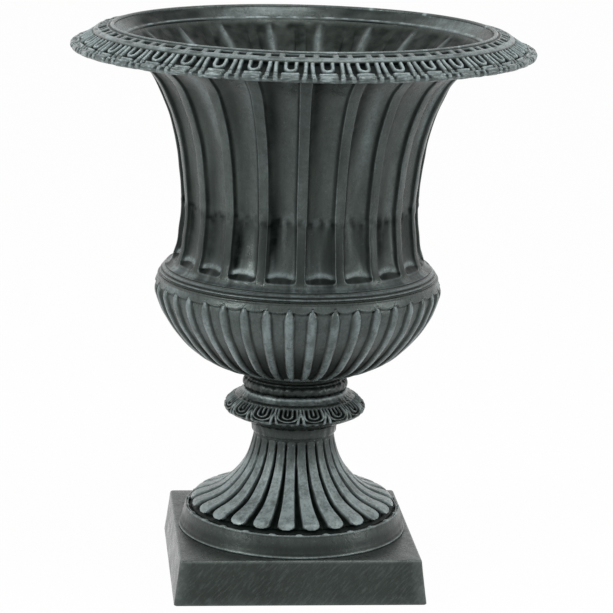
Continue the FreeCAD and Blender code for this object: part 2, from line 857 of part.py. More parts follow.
# ---------------------------------------------------------------- the whole urn
def make_urn():
    pieces = {
        "plinth": make_plinth(),
        "foot": make_foot(),
        "collar": make_collar(),
        "neck_ring": make_neck_ring(),
        "bowl": make_bowl(),
        "bell": make_bell(),
        "rim": make_rim(),
    }
    pieces.update(rod_pieces())
    pieces.update(plinth_fasteners())
    pieces.update(flange_fasteners())
    pieces.update(rim_fasteners())
    return pieces


os.makedirs("parts", exist_ok=True)
for name, shape in make_urn().items():
    shape.exportStep("parts/" + name + ".step")
    print(f"{name}: {len(shape.Solids)} solid(s), {shape.Volume / 1000:.1f} cm3, valid {shape.isValid()}")
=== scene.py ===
from math import cos, pi, radians, sin, sqrt

import bpy
import numpy as np
from mathutils import Matrix, Vector

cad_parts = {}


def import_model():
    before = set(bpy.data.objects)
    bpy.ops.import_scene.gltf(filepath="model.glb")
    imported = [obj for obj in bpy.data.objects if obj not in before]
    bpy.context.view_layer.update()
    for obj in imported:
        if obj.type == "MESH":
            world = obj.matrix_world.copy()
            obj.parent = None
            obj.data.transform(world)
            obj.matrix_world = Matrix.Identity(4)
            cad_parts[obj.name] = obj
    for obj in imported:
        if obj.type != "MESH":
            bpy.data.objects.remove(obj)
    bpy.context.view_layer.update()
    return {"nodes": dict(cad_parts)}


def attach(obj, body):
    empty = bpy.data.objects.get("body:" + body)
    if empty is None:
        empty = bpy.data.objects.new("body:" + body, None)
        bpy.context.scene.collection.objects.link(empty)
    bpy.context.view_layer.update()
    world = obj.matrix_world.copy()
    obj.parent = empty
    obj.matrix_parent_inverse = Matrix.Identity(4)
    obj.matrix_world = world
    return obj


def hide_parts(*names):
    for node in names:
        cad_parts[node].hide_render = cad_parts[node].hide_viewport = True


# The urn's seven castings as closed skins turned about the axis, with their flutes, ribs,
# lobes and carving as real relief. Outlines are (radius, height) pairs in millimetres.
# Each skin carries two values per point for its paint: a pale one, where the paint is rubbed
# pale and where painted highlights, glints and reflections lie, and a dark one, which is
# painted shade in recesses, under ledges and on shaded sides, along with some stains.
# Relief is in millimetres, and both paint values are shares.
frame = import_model()
scene = bpy.context.scene
MM = 0.001

# ---------------------------------------------------------------- sizes shared by the pieces
FLUTES, RIBS, LOBES, EGGS, KNOP_EGGS = 20, 40, 25, 40, 16
FLUTE_TURN, RIB_TURN, LOBE_TURN, EGG_TURN, KNOP_TURN = 4.9, 0.8, 2.6, 0.7, 11.6  # degrees
WALL = 5.0
CREST_TO_HOLLOW = 9.0
ROD_HOLE = 6.75
SPIGOT = 27.7
SPIGOT_BORE = SPIGOT - 5.5
RING_BORE = 28.0  # of the collar and the neck ring, round the spigots
SHARP_EDGE = 48  # degrees between faces that are shaded apart

# Heights at which one casting ends and the next begins, and the seats' radii there.
PLINTH_WEB, PLINTH_TOP = 40.0, 48.0
FOOT_WEB = 55.0
NECK_WEB, NECK_TOP, NECK_SEAT = 156.0, 168.0, 46.4
COLLAR_TOP, COLLAR_SEAT = 206.0, 50.6
RING_TOP, BOWL_FLOOR = 220.0, 236.0
BOWL_FLANGE, BOWL_TOP, BELL_FLANGE, FLANGE_BORE = 329.0, 334.0, 339.0, 113.0
RIM_FLANGE, RIM_SEAT, RIM_BORE = 578.0, 584.0, 189.0


# ---------------------------------------------------------------- curves and steps
def ease(value, low, high):
    """0 below low, 1 above high and a smooth step between."""
    share = np.clip((value - low) / (high - low), 0, 1)
    return share * share * (3 - 2 * share)


def hump(value, centre, width):
    """1 at the centre, falling smoothly to 0 on both sides of it."""
    return np.exp(-((value - centre) / width) ** 2)


def column(values):
    """One value per row, ready to meet one value per column."""
    return np.asarray(values)[:, None]


def blend_at(places, values, where):
    """A smooth line through values given at rising places."""
    places, values = np.array(places, float), np.array(values, float)
    slope = np.gradient(values, places)
    i = np.clip(np.searchsorted(places, where, side="right") - 1, 0, len(places) - 2)
    gap = places[i + 1] - places[i]
    s = (where - places[i]) / gap
    return ((1 + 2 * s) * (1 - s) ** 2 * values[i] + s * (1 - s) ** 2 * gap * slope[i]
            + s * s * (3 - 2 * s) * values[i + 1] + s * s * (s - 1) * gap * slope[i + 1])


def soft_min(first, second, soft):
    """The lesser of two depths, rounded off where they meet, and 0 where either is."""
    meet = np.exp(-first / soft) + np.exp(-second / soft) - np.exp(-(first + second) / soft)
    return np.clip(np.minimum(-soft * np.log(meet + 1e-9), np.minimum(first, second)), 0, None)


def along(points):
    """How far each point of a line is from its start."""
    return np.r_[0, np.cumsum(np.hypot(*np.diff(np.array(points, float), axis=0).T))]


def smooth(points, step):
    """Points of one smooth curve, a step apart, or at given distances along it."""
    points = np.array(points, float)
    length = along(points)
    where = step if np.ndim(step) else np.linspace(0, length[-1], int(length[-1] / step) + 2)
    return np.stack([blend_at(length, points[:, k], where) for k in (0, 1)], 1)


def rounded(points, size, steps):
    """A bent line with every corner rounded off over a short length."""
    points = np.array(points, float)
    most = 0.48  # of a side that one corner may take up
    line = [points[0]]
    for before, corner, after in zip(points, points[1:], points[2:]):
        start = corner + (before - corner) * min(size / np.linalg.norm(before - corner), most)
        end = corner + (after - corner) * min(size / np.linalg.norm(after - corner), most)
        line += [(1 - s) ** 2 * start + 2 * s * (1 - s) * corner + s * s * end
                 for s in np.linspace(0, 1, steps)]
    return np.array(line + [points[-1]])


def waves(angle, height, size, seed):
    """A smooth unevenness of about one size, in mm, that closes round the axis."""
    dice = np.random.default_rng(seed)
    count = 14
    most_turns = int(900 / size)
    total = 0
    for _ in range(count):
        turns = dice.integers(-most_turns, most_turns + 1)
        climb = dice.normal(0, 4 / size)
        total = total + np.sin(turns * angle + climb * height + dice.uniform(0, 2 * pi))
    return total / sqrt(count)


def units(count, centre, place):
    """Angles all round for the same places in each unit, in shares of a unit from its centre."""
    turn = np.repeat(np.arange(count), np.shape(place)[-1])
    places = np.tile(place, count)
    return np.radians(centre + (turn + places) * 360 / count), places


def shared_units(count, centre, raised, gap, share):
    """Angles row by row, where raised places take their share of each unit and gaps the rest.

    Both kinds of places run from -1 to 1. Also gives one unit's places from its centre."""
    unit = np.concatenate([raised * share / 2, 0.5 + gap * (1 - share) / 2], 1)
    turn = np.repeat(np.arange(count), unit.shape[1])
    return np.radians(centre + (np.tile(unit, (1, count)) + turn) * 360 / count), unit


# ---------------------------------------------------------------- a casting's skin
class Skin:
    """Rows of points round the axis, from row to row and from the last back to the first."""

    def __init__(self, angle):
        self.angle = angle
        self.parts = []

    def add(self, outline, relief=0.0, wear_and_sheen=0.0, shade_and_stain=0.0, angle=None, downwards=False):
        """Rows along an outline, raised to the right of its way by a relief square to it."""
        outline = np.array(outline, float)
        angle = self.angle if angle is None else angle
        shape = (len(outline), np.shape(angle)[-1])
        place = np.repeat(outline[:, None, :], shape[1], 1)
        if np.any(relief):
            way = np.gradient(outline, axis=0)
            way /= column(np.linalg.norm(way, axis=1))
            out = np.stack([way[:, 1], -way[:, 0]], 1)
            place = place + out[:, None, :] * np.broadcast_to(relief, shape)[:, :, None]
        part = [place[:, :, 0], place[:, :, 1]]
        part += [np.broadcast_to(x, shape) for x in (angle, wear_and_sheen, shade_and_stain)]
        self.parts.append([x[::-1] if downwards else x for x in part])

    def build(self, name, paint, nodes):
        """The mesh of all the rows added so far."""
        radius, height, angle, wear_and_sheen, shade_and_stain = [np.concatenate(x) for x in zip(*self.parts)]
        points = np.stack([radius * np.cos(angle), radius * np.sin(angle), height], -1)
        skin_mesh(name, points, wear_and_sheen, shade_and_stain, paint, nodes)


def skin_mesh(name, points, wear_and_sheen, shade_and_stain, paint, nodes):
    """The mesh of a closed grid of points in mm, riding on the urn in place of its CAD nodes."""
    rows, around = wear_and_sheen.shape
    corner = np.arange(rows * around).reshape(rows, around)
    above = np.roll(corner, -1, 0)
    faces = np.stack([corner, np.roll(corner, -1, 1), np.roll(above, -1, 1), above], -1)
    mesh = bpy.data.meshes.new(name)
    mesh.from_pydata((points.reshape(-1, 3) * MM).tolist(), [], faces.reshape(-1, 4).tolist())
    mesh.shade_smooth()
    mesh.set_sharp_from_angle(angle=radians(SHARP_EDGE))
    # the pale value holds wear and painted highlights, the dark value painted shade and stains
    for label, value in (("wear_and_sheen", wear_and_sheen), ("shade_and_stain", shade_and_stain)):
        layer = mesh.attributes.new(label, "FLOAT", "POINT")
        layer.data.foreach_set("value", np.clip(value, 0, 1).astype(np.float32).ravel())
    mesh.materials.append(paint)
    piece = bpy.data.objects.new(name, mesh)
    scene.collection.objects.link(piece)
    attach(piece, "root")
    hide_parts(*nodes)


# ---------------------------------------------------------------- materials
def link(tree, start, end):
    tree.links.new(start, end)


def noise(tree, size, detail, rough=0.55, stretch=(1, 1, 1), slant=0.0):
    """Noise whose grains are about a size in mm, and longer by the stretch along slanted axes."""
    place = tree.nodes.new("ShaderNodeTexCoord")
    scale = tree.nodes.new("ShaderNodeMapping")
    scale.vector_type = "TEXTURE"
    scale.inputs["Scale"].default_value = stretch
    scale.inputs["Rotation"].default_value = (0, radians(slant), 0)
    grain = tree.nodes.new("ShaderNodeTexNoise")
    grain.inputs["Scale"].default_value = 1 / (size * MM)
    grain.inputs["Detail"].default_value = detail
    grain.inputs["Roughness"].default_value = rough
    link(tree, place.outputs["Object"], scale.inputs["Vector"])
    link(tree, scale.outputs["Vector"], grain.inputs["Vector"])
    return grain.outputs["Fac"]


def attribute(tree, name):
    """A value that the mesh carries at its points."""
    node = tree.nodes.new("ShaderNodeAttribute")
    node.attribute_name = name
    return node.outputs["Fac"]


def maths(tree, how, *values):
    """One calculation on sockets and plain numbers."""
    node = tree.nodes.new("ShaderNodeMath")
    node.operation = how
    for slot, value in zip(node.inputs, values):
        if isinstance(value, (int, float)):
            slot.default_value = value
        else:
            link(tree, value, slot)
    return node.outputs[0]


def between(tree, value, low, high, start=0.0, end=1.0):
    """A value's range from low to high spread over start to end, and held there."""
    node = tree.nodes.new("ShaderNodeMapRange")
    for slot, number in zip(list(node.inputs)[1:5], (low, high, start, end)):
        slot.default_value = number
    link(tree, value, node.inputs["Value"])
    return node.outputs["Result"]


def mixed(tree, share, first, second):
    """Two colours mixed; the node's colour sockets come after its numbers and vectors."""
    node = tree.nodes.new("ShaderNodeMix")
    node.data_type = "RGBA"
    link(tree, share, node.inputs["Factor"])
    for slot, value in ((node.inputs[6], first), (node.inputs[7], second)):
        if isinstance(value, tuple):
            slot.default_value = (*value, 1)
        else:
            link(tree, value, slot)
    return node.outputs[2]


def blank_material(name):
    paint = bpy.data.materials.new(name)
    paint.use_nodes = True
    return paint, paint.node_tree, paint.node_tree.nodes["Principled BSDF"]


def bump(tree, shader, height, distance, strength):
    """Fine grain on the surface, with its distance in mm."""
    node = tree.nodes.new("ShaderNodeBump")
    node.inputs["Distance"].default_value = distance * MM
    node.inputs["Strength"].default_value = strength
    link(tree, height, node.inputs["Height"])
    link(tree, node.outputs["Normal"], shader.inputs["Normal"])


def iron(name, base, pale_colour, dark, rough, streaks=0.5, brushed=0.0):
    """Dark stove paint on cast iron, rubbed pale where it stands proud and with painted highlights, and
    blackened by painted shade in its recesses.
    """
    paint, tree, shader = blank_material(name)
    cloud = noise(tree, 60, 4.0)
    patch = noise(tree, 14, 5.0, 0.62)
    speck = noise(tree, 3.2, 3.0, 0.7)
    fine = noise(tree, 1.1, 2.0, 0.6)
    streak = noise(tree, 5, 4.0, 0.65, (1, 1, 11))
    strokes = noise(tree, 1.8, 3.0, 0.6, (7, 1, 1), -48)

    # how far the paint is rubbed through, together with painted highlights, glints and reflections
    wear_and_sheen = maths(tree, "MULTIPLY", attribute(tree, "wear_and_sheen"), between(tree, patch, 0.34, 0.62, 0.5, 1.15))
    wear_and_sheen = maths(tree, "MULTIPLY", wear_and_sheen, between(tree, speck, 0.3, 0.58, 0.6, 1.1))
    wear_and_sheen = maths(tree, "MINIMUM", wear_and_sheen, 1.0)

    # the paint itself: clouds and runs, pale specks and brush strokes
    clouds = between(tree, cloud, 0.36, 0.64, 0, 1 - streaks)
    tone = maths(tree, "ADD", clouds, between(tree, streak, 0.34, 0.66, 0, streaks))
    ground = mixed(tree, tone, tuple(x * 0.45 for x in base), tuple(x * 1.3 for x in base))
    worn = between(tree, speck, 0.62, 0.72, 0, 0.35)
    specks = maths(tree, "MULTIPLY", worn, between(tree, patch, 0.45, 0.6))
    ground = mixed(tree, specks, ground, pale_colour)
    ground = mixed(tree, between(tree, strokes, 0.48, 0.72, 0, brushed), ground, pale_colour)
    colour = mixed(tree, wear_and_sheen, ground, pale_colour)
    # painted shade: recesses, undersides and shaded sides mixed towards near black, with some stains
    shade_and_stain = maths(tree, "MULTIPLY", attribute(tree, "shade_and_stain"), between(tree, patch, 0.3, 0.6, 0.8, 1.0))
    link(tree, mixed(tree, shade_and_stain, colour, dark), shader.inputs["Base Color"])

    # uneven gloss, dull in the recesses
    gloss = between(tree, patch, 0.32, 0.68, rough - 0.08, rough + 0.10)
    gloss = maths(tree, "ADD", gloss, between(tree, streak, 0.4, 0.6, -0.03, 0.05))
    gloss = maths(tree, "ADD", gloss, maths(tree, "MULTIPLY", shade_and_stain, 0.35))
    link(tree, gloss, shader.inputs["Roughness"])
    # painted shade on the reflections too: the specular tint falls to near black where the dark value is
    # high
    tint = mixed(tree, shade_and_stain, (0.87, 1.0, 0.94), (0.05, 0.09, 0.075))
    link(tree, tint, shader.inputs["Specular Tint"])
    shader.inputs["Specular IOR Level"].default_value = 0.42
    rise = maths(tree, "ADD", fine, maths(tree, "MULTIPLY", speck, 1.6))
    rise = maths(tree, "ADD", rise, maths(tree, "MULTIPLY", streak, 1.5))
    bump(tree, shader, rise, 0.5, 0.3)
    return paint


def zinc():
    """Dull zinc plate, faintly clouded and scratched."""
    paint, tree, shader = blank_material("zinc_steel")
    cloud = noise(tree, 2.5, 4.0)
    scratch = noise(tree, 0.5, 2.0, 0.6, (1, 1, 12))
    shader.inputs["Metallic"].default_value = 1.0
    link(tree, mixed(tree, cloud, (0.40, 0.41, 0.42), (0.60, 0.61, 0.62)), shader.inputs["Base Color"])
    link(tree, between(tree, scratch, 0.3, 0.7, 0.32, 0.52), shader.inputs["Roughness"])
    bump(tree, shader, scratch, 0.2, 0.3)
    return paint


# each iron: ground colour, the pale colour of wear and painted highlights, the near black of painted shade,
# and roughness
plinth_iron = iron("plinth_iron", (0.016, 0.021, 0.018), (0.15, 0.175, 0.165), (0.002, 0.003, 0.0025),
                   0.25, streaks=0.2, brushed=0.26)
stem_iron = iron("stem_iron", (0.016, 0.021, 0.018), (0.30, 0.36, 0.36), (0.001, 0.0025, 0.002), 0.26)
body_iron = iron("body_iron", (0.029, 0.036, 0.031), (0.205, 0.25, 0.255), (0.001, 0.002, 0.0015), 0.27)
rim_iron = iron("rim_iron", (0.030, 0.038, 0.035), (0.33, 0.40, 0.405), (0.0, 0.001, 0.0015), 0.27)
zinc_steel = zinc()


# ---------------------------------------------------------------- plinth
def plinth():
    """A hollow square base: each row is a rounded square, or a circle in line with it."""
    corner_radius = 3.0
    side = np.linspace(-1, 1, 25)
    corner = np.linspace(0, pi / 2, 7)[1:-1]

    def square(half):
        flat = half - corner_radius
        points = []
        for quarter in range(4):
            edge = [(half, x * flat) for x in side]
            bend = [(flat + corner_radius * cos(a), flat + corner_radius * sin(a)) for a in corner]
            for x, y in edge + bend:
                for _ in range(quarter):
                    x, y = -y, x
                points.append((x, y))
        return np.array(points)

    any_square = square(100.0)
    angle = np.arctan2(any_square[:, 1], any_square[:, 0])
    rows, wear_and_sheen, shade_and_stain = [], [], []

    def add_row(height, flat, worn=0.0, painted_shade=0.0):
        rows.append(np.column_stack([flat, np.full(len(flat), height)]))
        wear_and_sheen.append(np.broadcast_to(worn, len(flat)))
        shade_and_stain.append(np.full(len(flat), painted_shade))

    # up the tapered outside, in heights, half widths and wear, with the corners worn as well
    outside = [(0.0, 134.2, 0.3), (0.8, 134.8, 0.5), (3.0, 134.6, 0.15)]
    outside += [(45.6 * share, 134.9 - 5.9 * share, 0.0) for share in (0.25, 0.5, 0.75)]
    outside += [(44.6, 129.3, 0.05), (46.2, 129.1, 0.4), (47.2, 128.6, 0.8), (47.8, 127.8, 0.6),
                (PLINTH_TOP, 126.6, 0.15)]
    for height, half, worn in outside:
        flat = square(half)
        corners = 0.55 * hump(np.abs(flat[:, 0]) - np.abs(flat[:, 1]), 0, 8)
        add_row(height, flat, np.maximum(worn, corners))

    # across the top to the round hole, with painted shade at the foot's ring fading inwards, and down the
    # hollow
    circles = [(PLINTH_TOP, 123.0, 0.35), (PLINTH_TOP, 86.0, 0.0), (PLINTH_WEB, 86.0, 0.0)]
    for height, radius, painted_shade in circles:
        add_row(height, radius * np.stack([np.cos(angle), np.sin(angle)], 1), painted_shade=painted_shade)
    for height, half in ((PLINTH_WEB, 120.5), (38.5, 121.6), (0.0, 126.6)):
        add_row(height, square(half))
    skin_mesh("plinth_cast", np.array(rows), np.array(wear_and_sheen), np.array(shade_and_stain),
              plinth_iron, ["plinth"])


# ---------------------------------------------------------------- foot
def foot():
    """Base ring, lobes that sweep up to the neck, and the hollow inside."""
    lobe = np.sin(np.linspace(-pi / 2, pi / 2, 15))
    gap = np.linspace(-1, 1, 9)[1:-1]

    # the lobes' crests, from the base ring up to the neck
    crest = [(111.2, 72.2), (111.9, 74.2), (112.0, 76.0), (111.3, 78.2), (109.6, 80.6), (107.0, 82.6),
             (103.4, 84.2), (92.0, 88.0), (79.5, 94.0), (65.9, 106.0), (55.2, 120.0), (48.9, 134.0),
             (46.0, 144.0), (44.6, 150.4), (43.9, 155.4)]
    total = along(crest)[-1]
    where = np.r_[np.arange(0, 26, 0.8), np.arange(26, total - 8, 2.6), np.arange(total - 8, total, 0.9)]
    line = smooth(crest, where)
    rise, height = column(where), column(line[:, 1])
    share = column(np.interp(where, [0, 15, 60, 90, total], [0.64, 0.63, 0.66, 0.72, 0.76]))
    angle, unit = shared_units(LOBES, LOBE_TURN, lobe, gap, share)
    place = np.tile(np.where(unit > 0.5, unit - 1, unit), (1, LOBES))
    pitch = 2 * pi * column(line[:, 0]) / LOBES
    across = np.abs(place) * pitch

    # how far inside its lobe each place lies: round at both ends, blunter at the lower one
    start, top, lower_round, upper_round, blunt = 3.4, total - 1.0, 7.0, 3.0, 2.3
    low = np.clip((start + lower_round - rise) / lower_round, 0, 1) ** blunt
    high = np.clip((rise - top + upper_round) / upper_round, 0, 1) ** 2
    half = share * pitch / 2 * (1 - low) ** (1 / blunt) * np.sqrt(1 - high)
    inside = np.where((rise > start) & (rise < top), half - across, -across - 1)

    # relief: flat lobes with a bevelled edge and a slight crown, over valleys with a crease
    deepest, inset = 4.2, 0.45
    valley = deepest * column(np.interp(where, [0, 30, 70, 100, total], [1.0, 1.0, 0.9, 0.62, 0.35]))
    body = ease(inside, -1.1, 0.35)
    bevel = hump(inside, 0.75, 0.55)
    crown = 0.5 * (1 - np.clip(across / np.maximum(half, 1), 0, 1) ** 2)
    crease = ease(1 - 2 * np.abs(0.5 - np.abs(place)), 0.86, 1.0)
    relief = -valley * (1 - body) + 0.28 * bevel * body - inset + 0.5 * crown * body
    relief = relief + 0.14 * waves(angle, height, 30, 3)
    relief = relief - 0.8 * (1 - body) * crease
    close = ease(rise, total - 8, total - 1)
    relief = relief * (1 - close)

    # paint: rubbed lobes that turn darker and less rubbed towards the neck, with painted glints there,
    # and painted glint streaks down the valleys
    shade = column(ease(where, 2, 80))
    near_neck = ease(rise, total - 46, total - 6)
    glints = np.clip(waves(angle, height, 5, 73) - 1.3, 0, 0.6) * near_neck * 1.5
    wear_and_sheen = body * (0.95 - 0.12 * shade + 0.5 * bevel * (1 - 0.4 * shade)) * (1 - 0.72 * near_neck) + glints
    # painted glint streaks along the valleys' edges
    streak = np.clip(waves(angle, height / 4, 7, 71) - 0.6, 0, 0.4) * 2.5
    streak = streak * ease(inside, -2.2, -0.4) * (1 - ease(inside, 0.0, 0.8))
    streak = streak * ease(rise, 45, 65) * (1 - ease(rise, total - 16, total - 6))
    wear_and_sheen = wear_and_sheen + streak
    # painted shade in the valleys, lifted where the glint streaks run, and the lobes darker towards the neck
    shade_and_stain = (1 - ease(inside, -1.6, 0.2)) * (1 - 0.5 * close) * (1 - streak) + 0.4 * near_neck * body * (1 - glints)

    # base ring: a bead on the plinth, a plain side and a beaded lip with a pip between lobes
    middle = angle[:1]
    ring = np.concatenate([
        rounded([(121.0, PLINTH_TOP), (124.4, PLINTH_TOP), (124.6, 49.6), (123.9, 50.7), (123.1, 52.4)],
                0.6, 4),
        smooth([(122.6, 54.0), (120.6, 61.5), (118.7, 69.0)], 3.0),
        smooth([(118.4, 70.2), (118.1, 71.2), (117.3, 71.9), (116.5, 71.6), (115.9, 71.1), (115.3, 71.5),
                (114.7, 71.5), (114.1, 70.8), (113.5, 69.6), (112.6, 69.0), (111.6, 69.6), (111.0, 71.2)],
               0.45),
    ])
    reach, tall = column(ring[:, 0]), column(ring[:, 1])
    pip = np.exp(-((0.5 - np.abs(place[:1])) * 2 * pi * 115 / LOBES / 3.2) ** 4)
    on_lip = ease(reach, 112.6, 113.6) * ease(118.4 - reach, 0.0, 0.9) * (tall > 69.2)
    lip = hump(reach, 117.3, 0.8) * (tall > 70.4)
    second = hump(reach, 115.0, 0.5) * (tall > 70.4)
    side = ease(tall, 54, 68) * (tall < 70)
    groove = ease(114.3 - reach, 0, 1.2) * (tall > 68)
    # the pips are rubbed pale; pale lines along the beads are painted highlights; painted shade in the
    # groove and under the bottom bead, and the side darker at its middle
    ring_wear_and_sheen = 0.85 * lip + 0.7 * second + 0.8 * hump(tall, 49.6, 0.8) + 0.9 * pip * on_lip + 0.06 * side
    ring_shade_and_stain = 0.9 * groove * (1 - pip * on_lip) + 0.6 * hump(tall, 51.8, 0.8) + 0.4 * hump(tall, 58, 5)
    skin = Skin(middle)
    skin.add(ring, relief=1.2 * pip * on_lip + 0.12 * waves(middle, 0, 40, 9) * on_lip,
             wear_and_sheen=ring_wear_and_sheen, shade_and_stain=ring_shade_and_stain)
    skin.add(line, relief=relief, wear_and_sheen=wear_and_sheen, shade_and_stain=shade_and_stain, angle=angle)

    # plain neck under the collar, with painted shade at its top, the spigot, and the hollow back down
    # to the plinth, in painted shade
    drum = smooth([(43.9, NECK_WEB), (45.2, 156.5), (46.0, 158.2), (46.4, 162.0), (47.0, 167.4)], 0.8)
    up_drum = column(drum[:, 1])
    skin.add(drum, relief=0.25 * waves(middle, up_drum, 22, 5) * column(ease(along(drum), 0, 3)),
             wear_and_sheen=0.05, shade_and_stain=0.35 * ease(up_drum, 162, 167.4))
    skin.add([(NECK_SEAT, NECK_TOP), (SPIGOT, NECK_TOP), (SPIGOT, 174.0), (SPIGOT_BORE, 174.0),
              (SPIGOT_BORE, NECK_TOP), (ROD_HOLE, NECK_TOP), (ROD_HOLE, NECK_WEB), (35.6, NECK_WEB)])
    skin.add(smooth(crest[5:], 5.0), relief=-CREST_TO_HOLLOW, downwards=True, shade_and_stain=0.3)
    skin.add([(111.5, 68.0), (111.5, FOOT_WEB), (88.0, FOOT_WEB), (88.0, PLINTH_TOP)], shade_and_stain=0.3)
    skin.build("foot_cast", stem_iron, ["foot"])


# ---------------------------------------------------------------- carved marks
FAR = 1e3  # further than any mark reaches


def stroke(across, down, path, half):
    """How far inside a stroke along a bent line each place lies, in mm, with round ends."""
    best = np.full(np.broadcast(across, down).shape, -FAR)
    for (x0, y0), (x1, y1) in zip(path, path[1:]):
        dx, dy = x1 - x0, y1 - y0
        share = np.clip(((across - x0) * dx + (down - y0) * dy) / (dx * dx + dy * dy), 0, 1)
        best = np.maximum(best, half - np.hypot(across - x0 - share * dx, down - y0 - share * dy))
    return best


def loop(across, down, width, drop, round_down, half):
    """How far inside the stroke of a U: straight sides down to drop, then a round bottom."""
    across = np.abs(across)
    side = np.where(down < drop, np.abs(across - width), FAR)
    bend = np.hypot(across, (down - drop) * width / round_down)
    bottom = np.where(down >= drop, np.abs(bend - width), FAR)
    return half - np.minimum(side, bottom)


# ---------------------------------------------------------------- collar
def collar():
    """The knop: a smooth dome over a band of egg-and-dart carving."""
    angle, place = units(KNOP_EGGS, KNOP_TURN, np.linspace(-0.5, 0.5, 49)[:-1])
    under = smooth([(47.0, 168.2), (48.6, 170.0), (53.8, 172.2), (61.0, 174.4), (68.0, 177.0),
                    (72.6, 179.2)], 1.6)
    band = smooth([(73.6, 179.8), (75.4, 181.2), (76.9, 183.2), (77.2, 185.4), (76.4, 188.0),
                   (74.4, 190.8), (71.6, 193.4), (68.6, 195.6), (65.2, 197.7), (61.8, 199.4)], 0.6)
    dome = smooth([(61.2, 199.8), (58.8, 201.5), (57.3, 203.4), (56.8, 204.6), (55.6, 205.4),
                   (53.8, 205.6), (52.0, 205.4)], 0.8)

    # marks, measured down from the band's upper edge and across from an egg or from a dart
    down = column(along(band)[-1] - along(band))
    pitch = 2 * pi * column(band[:, 0]) / KNOP_EGGS
    across = place[None, :] * pitch
    beside = np.where(across > 0, across - pitch / 2, across + pitch / 2)
    widen = pitch / 30.3  # the units grow with the radius, from one of 30.3 mm
    egg_frame = loop(across / widen, down, 11.2, 15.0, 6.8, 1.3)
    egg = loop(across / widen, down, 5.4, 14.0, 4.0, 1.1)
    egg = np.maximum(egg, stroke(across, down, [(0, 4), (0, 13.0)], 0.9))
    stem = stroke(beside, down, [(0, -2), (0, 12.0)], 1.25)
    legs = stroke(np.abs(beside), down, [(0.3, 11.6), (2.2, 17.0), (3.8, 25.5)], 1.45)
    marks = np.maximum.reduce([egg_frame, egg, stem, legs])

    # relief: marks over a sunk field, and a row of pads on the lower edge
    sunk, inset = 2.3, 0.35
    field = ease(down, 4.4, 5.6) * (1 - ease(down, 22.6, 24.6))
    pad = ease(down, 23.6, 25.0) * (1 - ease(np.abs(across), 9.4, 11.0)) * (1 - ease(down, 27.4, 28.9))
    raised = ease(marks, -0.8, 0.5)
    lump = waves(angle, column(band[:, 1]), 12, 17)
    relief = -sunk * field * (1 - raised) + 0.4 * np.clip(marks, 0, 1.2) * field - inset
    relief = relief + 0.4 * pad + 0.25 * lump
    relief = relief * ease(column(along(band)), 0, 2) * ease(down, 0, 1.4)
    tips = ease(legs, -0.2, 0.6) * ease(down, 21.0, 23.5)
    wear_and_sheen = raised * (0.30 + 0.45 * np.clip(marks, 0, 1)) * field * np.clip(0.9 + 0.35 * lump, 0.3, 1.3)
    wear_and_sheen = wear_and_sheen + 0.9 * tips + 0.55 * pad * ease(lump, -0.8, 0.8)
    wear_and_sheen = wear_and_sheen + 0.3 * hump(down, 3.9, 0.9)

    skin = Skin(angle)
    skin.add(under, wear_and_sheen=0.02, relief=0.15 * waves(angle, 0, 24, 4) * ease(column(along(under)), 0, 4))
    # painted shade in the sunk field round the marks
    skin.add(band, relief=relief, wear_and_sheen=wear_and_sheen, shade_and_stain=field * (1 - raised))
    edge = column(hump(dome[:, 0], 56.9, 0.7))
    skin.add(dome, wear_and_sheen=0.26 + 0.5 * edge + 0.25 * np.clip(waves(angle, 0, 50, 19), 0, 1),
             relief=0.3 * waves(angle, column(dome[:, 1]), 14, 8) * (1 - edge))
    skin.add([(COLLAR_SEAT, COLLAR_TOP), (RING_BORE, COLLAR_TOP), (RING_BORE, NECK_TOP),
              (NECK_SEAT, NECK_TOP)])
    skin.build("collar_cast", stem_iron, ["collar"])


def neck_ring():
    """A half-round ring with a small bead above it, both lumpy from the mould."""
    angle, _ = units(72, 0, np.linspace(-0.5, 0.5, 5)[:-1])
    line = smooth([(51.2, 206.1), (54.6, 206.8), (57.0, 209.0), (57.5, 211.8), (57.0, 214.4), (55.4, 216.6),
                   (54.0, 217.5), (53.8, 218.1), (53.9, 218.8), (53.0, 219.5), (51.4, 219.8)], 0.6)
    height = column(line[:, 1])
    lumps = waves(angle, height * 2, 15, 12)
    ends = 3  # mm in which the lumps fade towards both edges
    held = column(np.clip(np.minimum(along(line), along(line)[::-1]), 0, ends)) / ends
    crests = hump(height, 214.2, 1.4) * 0.5 + hump(height, 218.9, 0.7) * 0.4
    skin = Skin(angle)
    # pale lines on the crests are painted highlights; painted shade under the bead and on the ring's
    # underside, on a darker ground all round
    skin.add(line, relief=0.5 * lumps * held - 0.4, wear_and_sheen=0.35 * crests * (0.7 + 0.5 * lumps),
             shade_and_stain=0.5 * hump(height, 217.8, 0.6) + 0.25 + 0.5 * ease(210 - height, 0, 3))
    skin.add([(50.4, RING_TOP), (RING_BORE, RING_TOP), (RING_BORE, COLLAR_TOP),
              (COLLAR_SEAT, COLLAR_TOP)])
    skin.build("neck_ring_cast", stem_iron, ["neck_ring"])


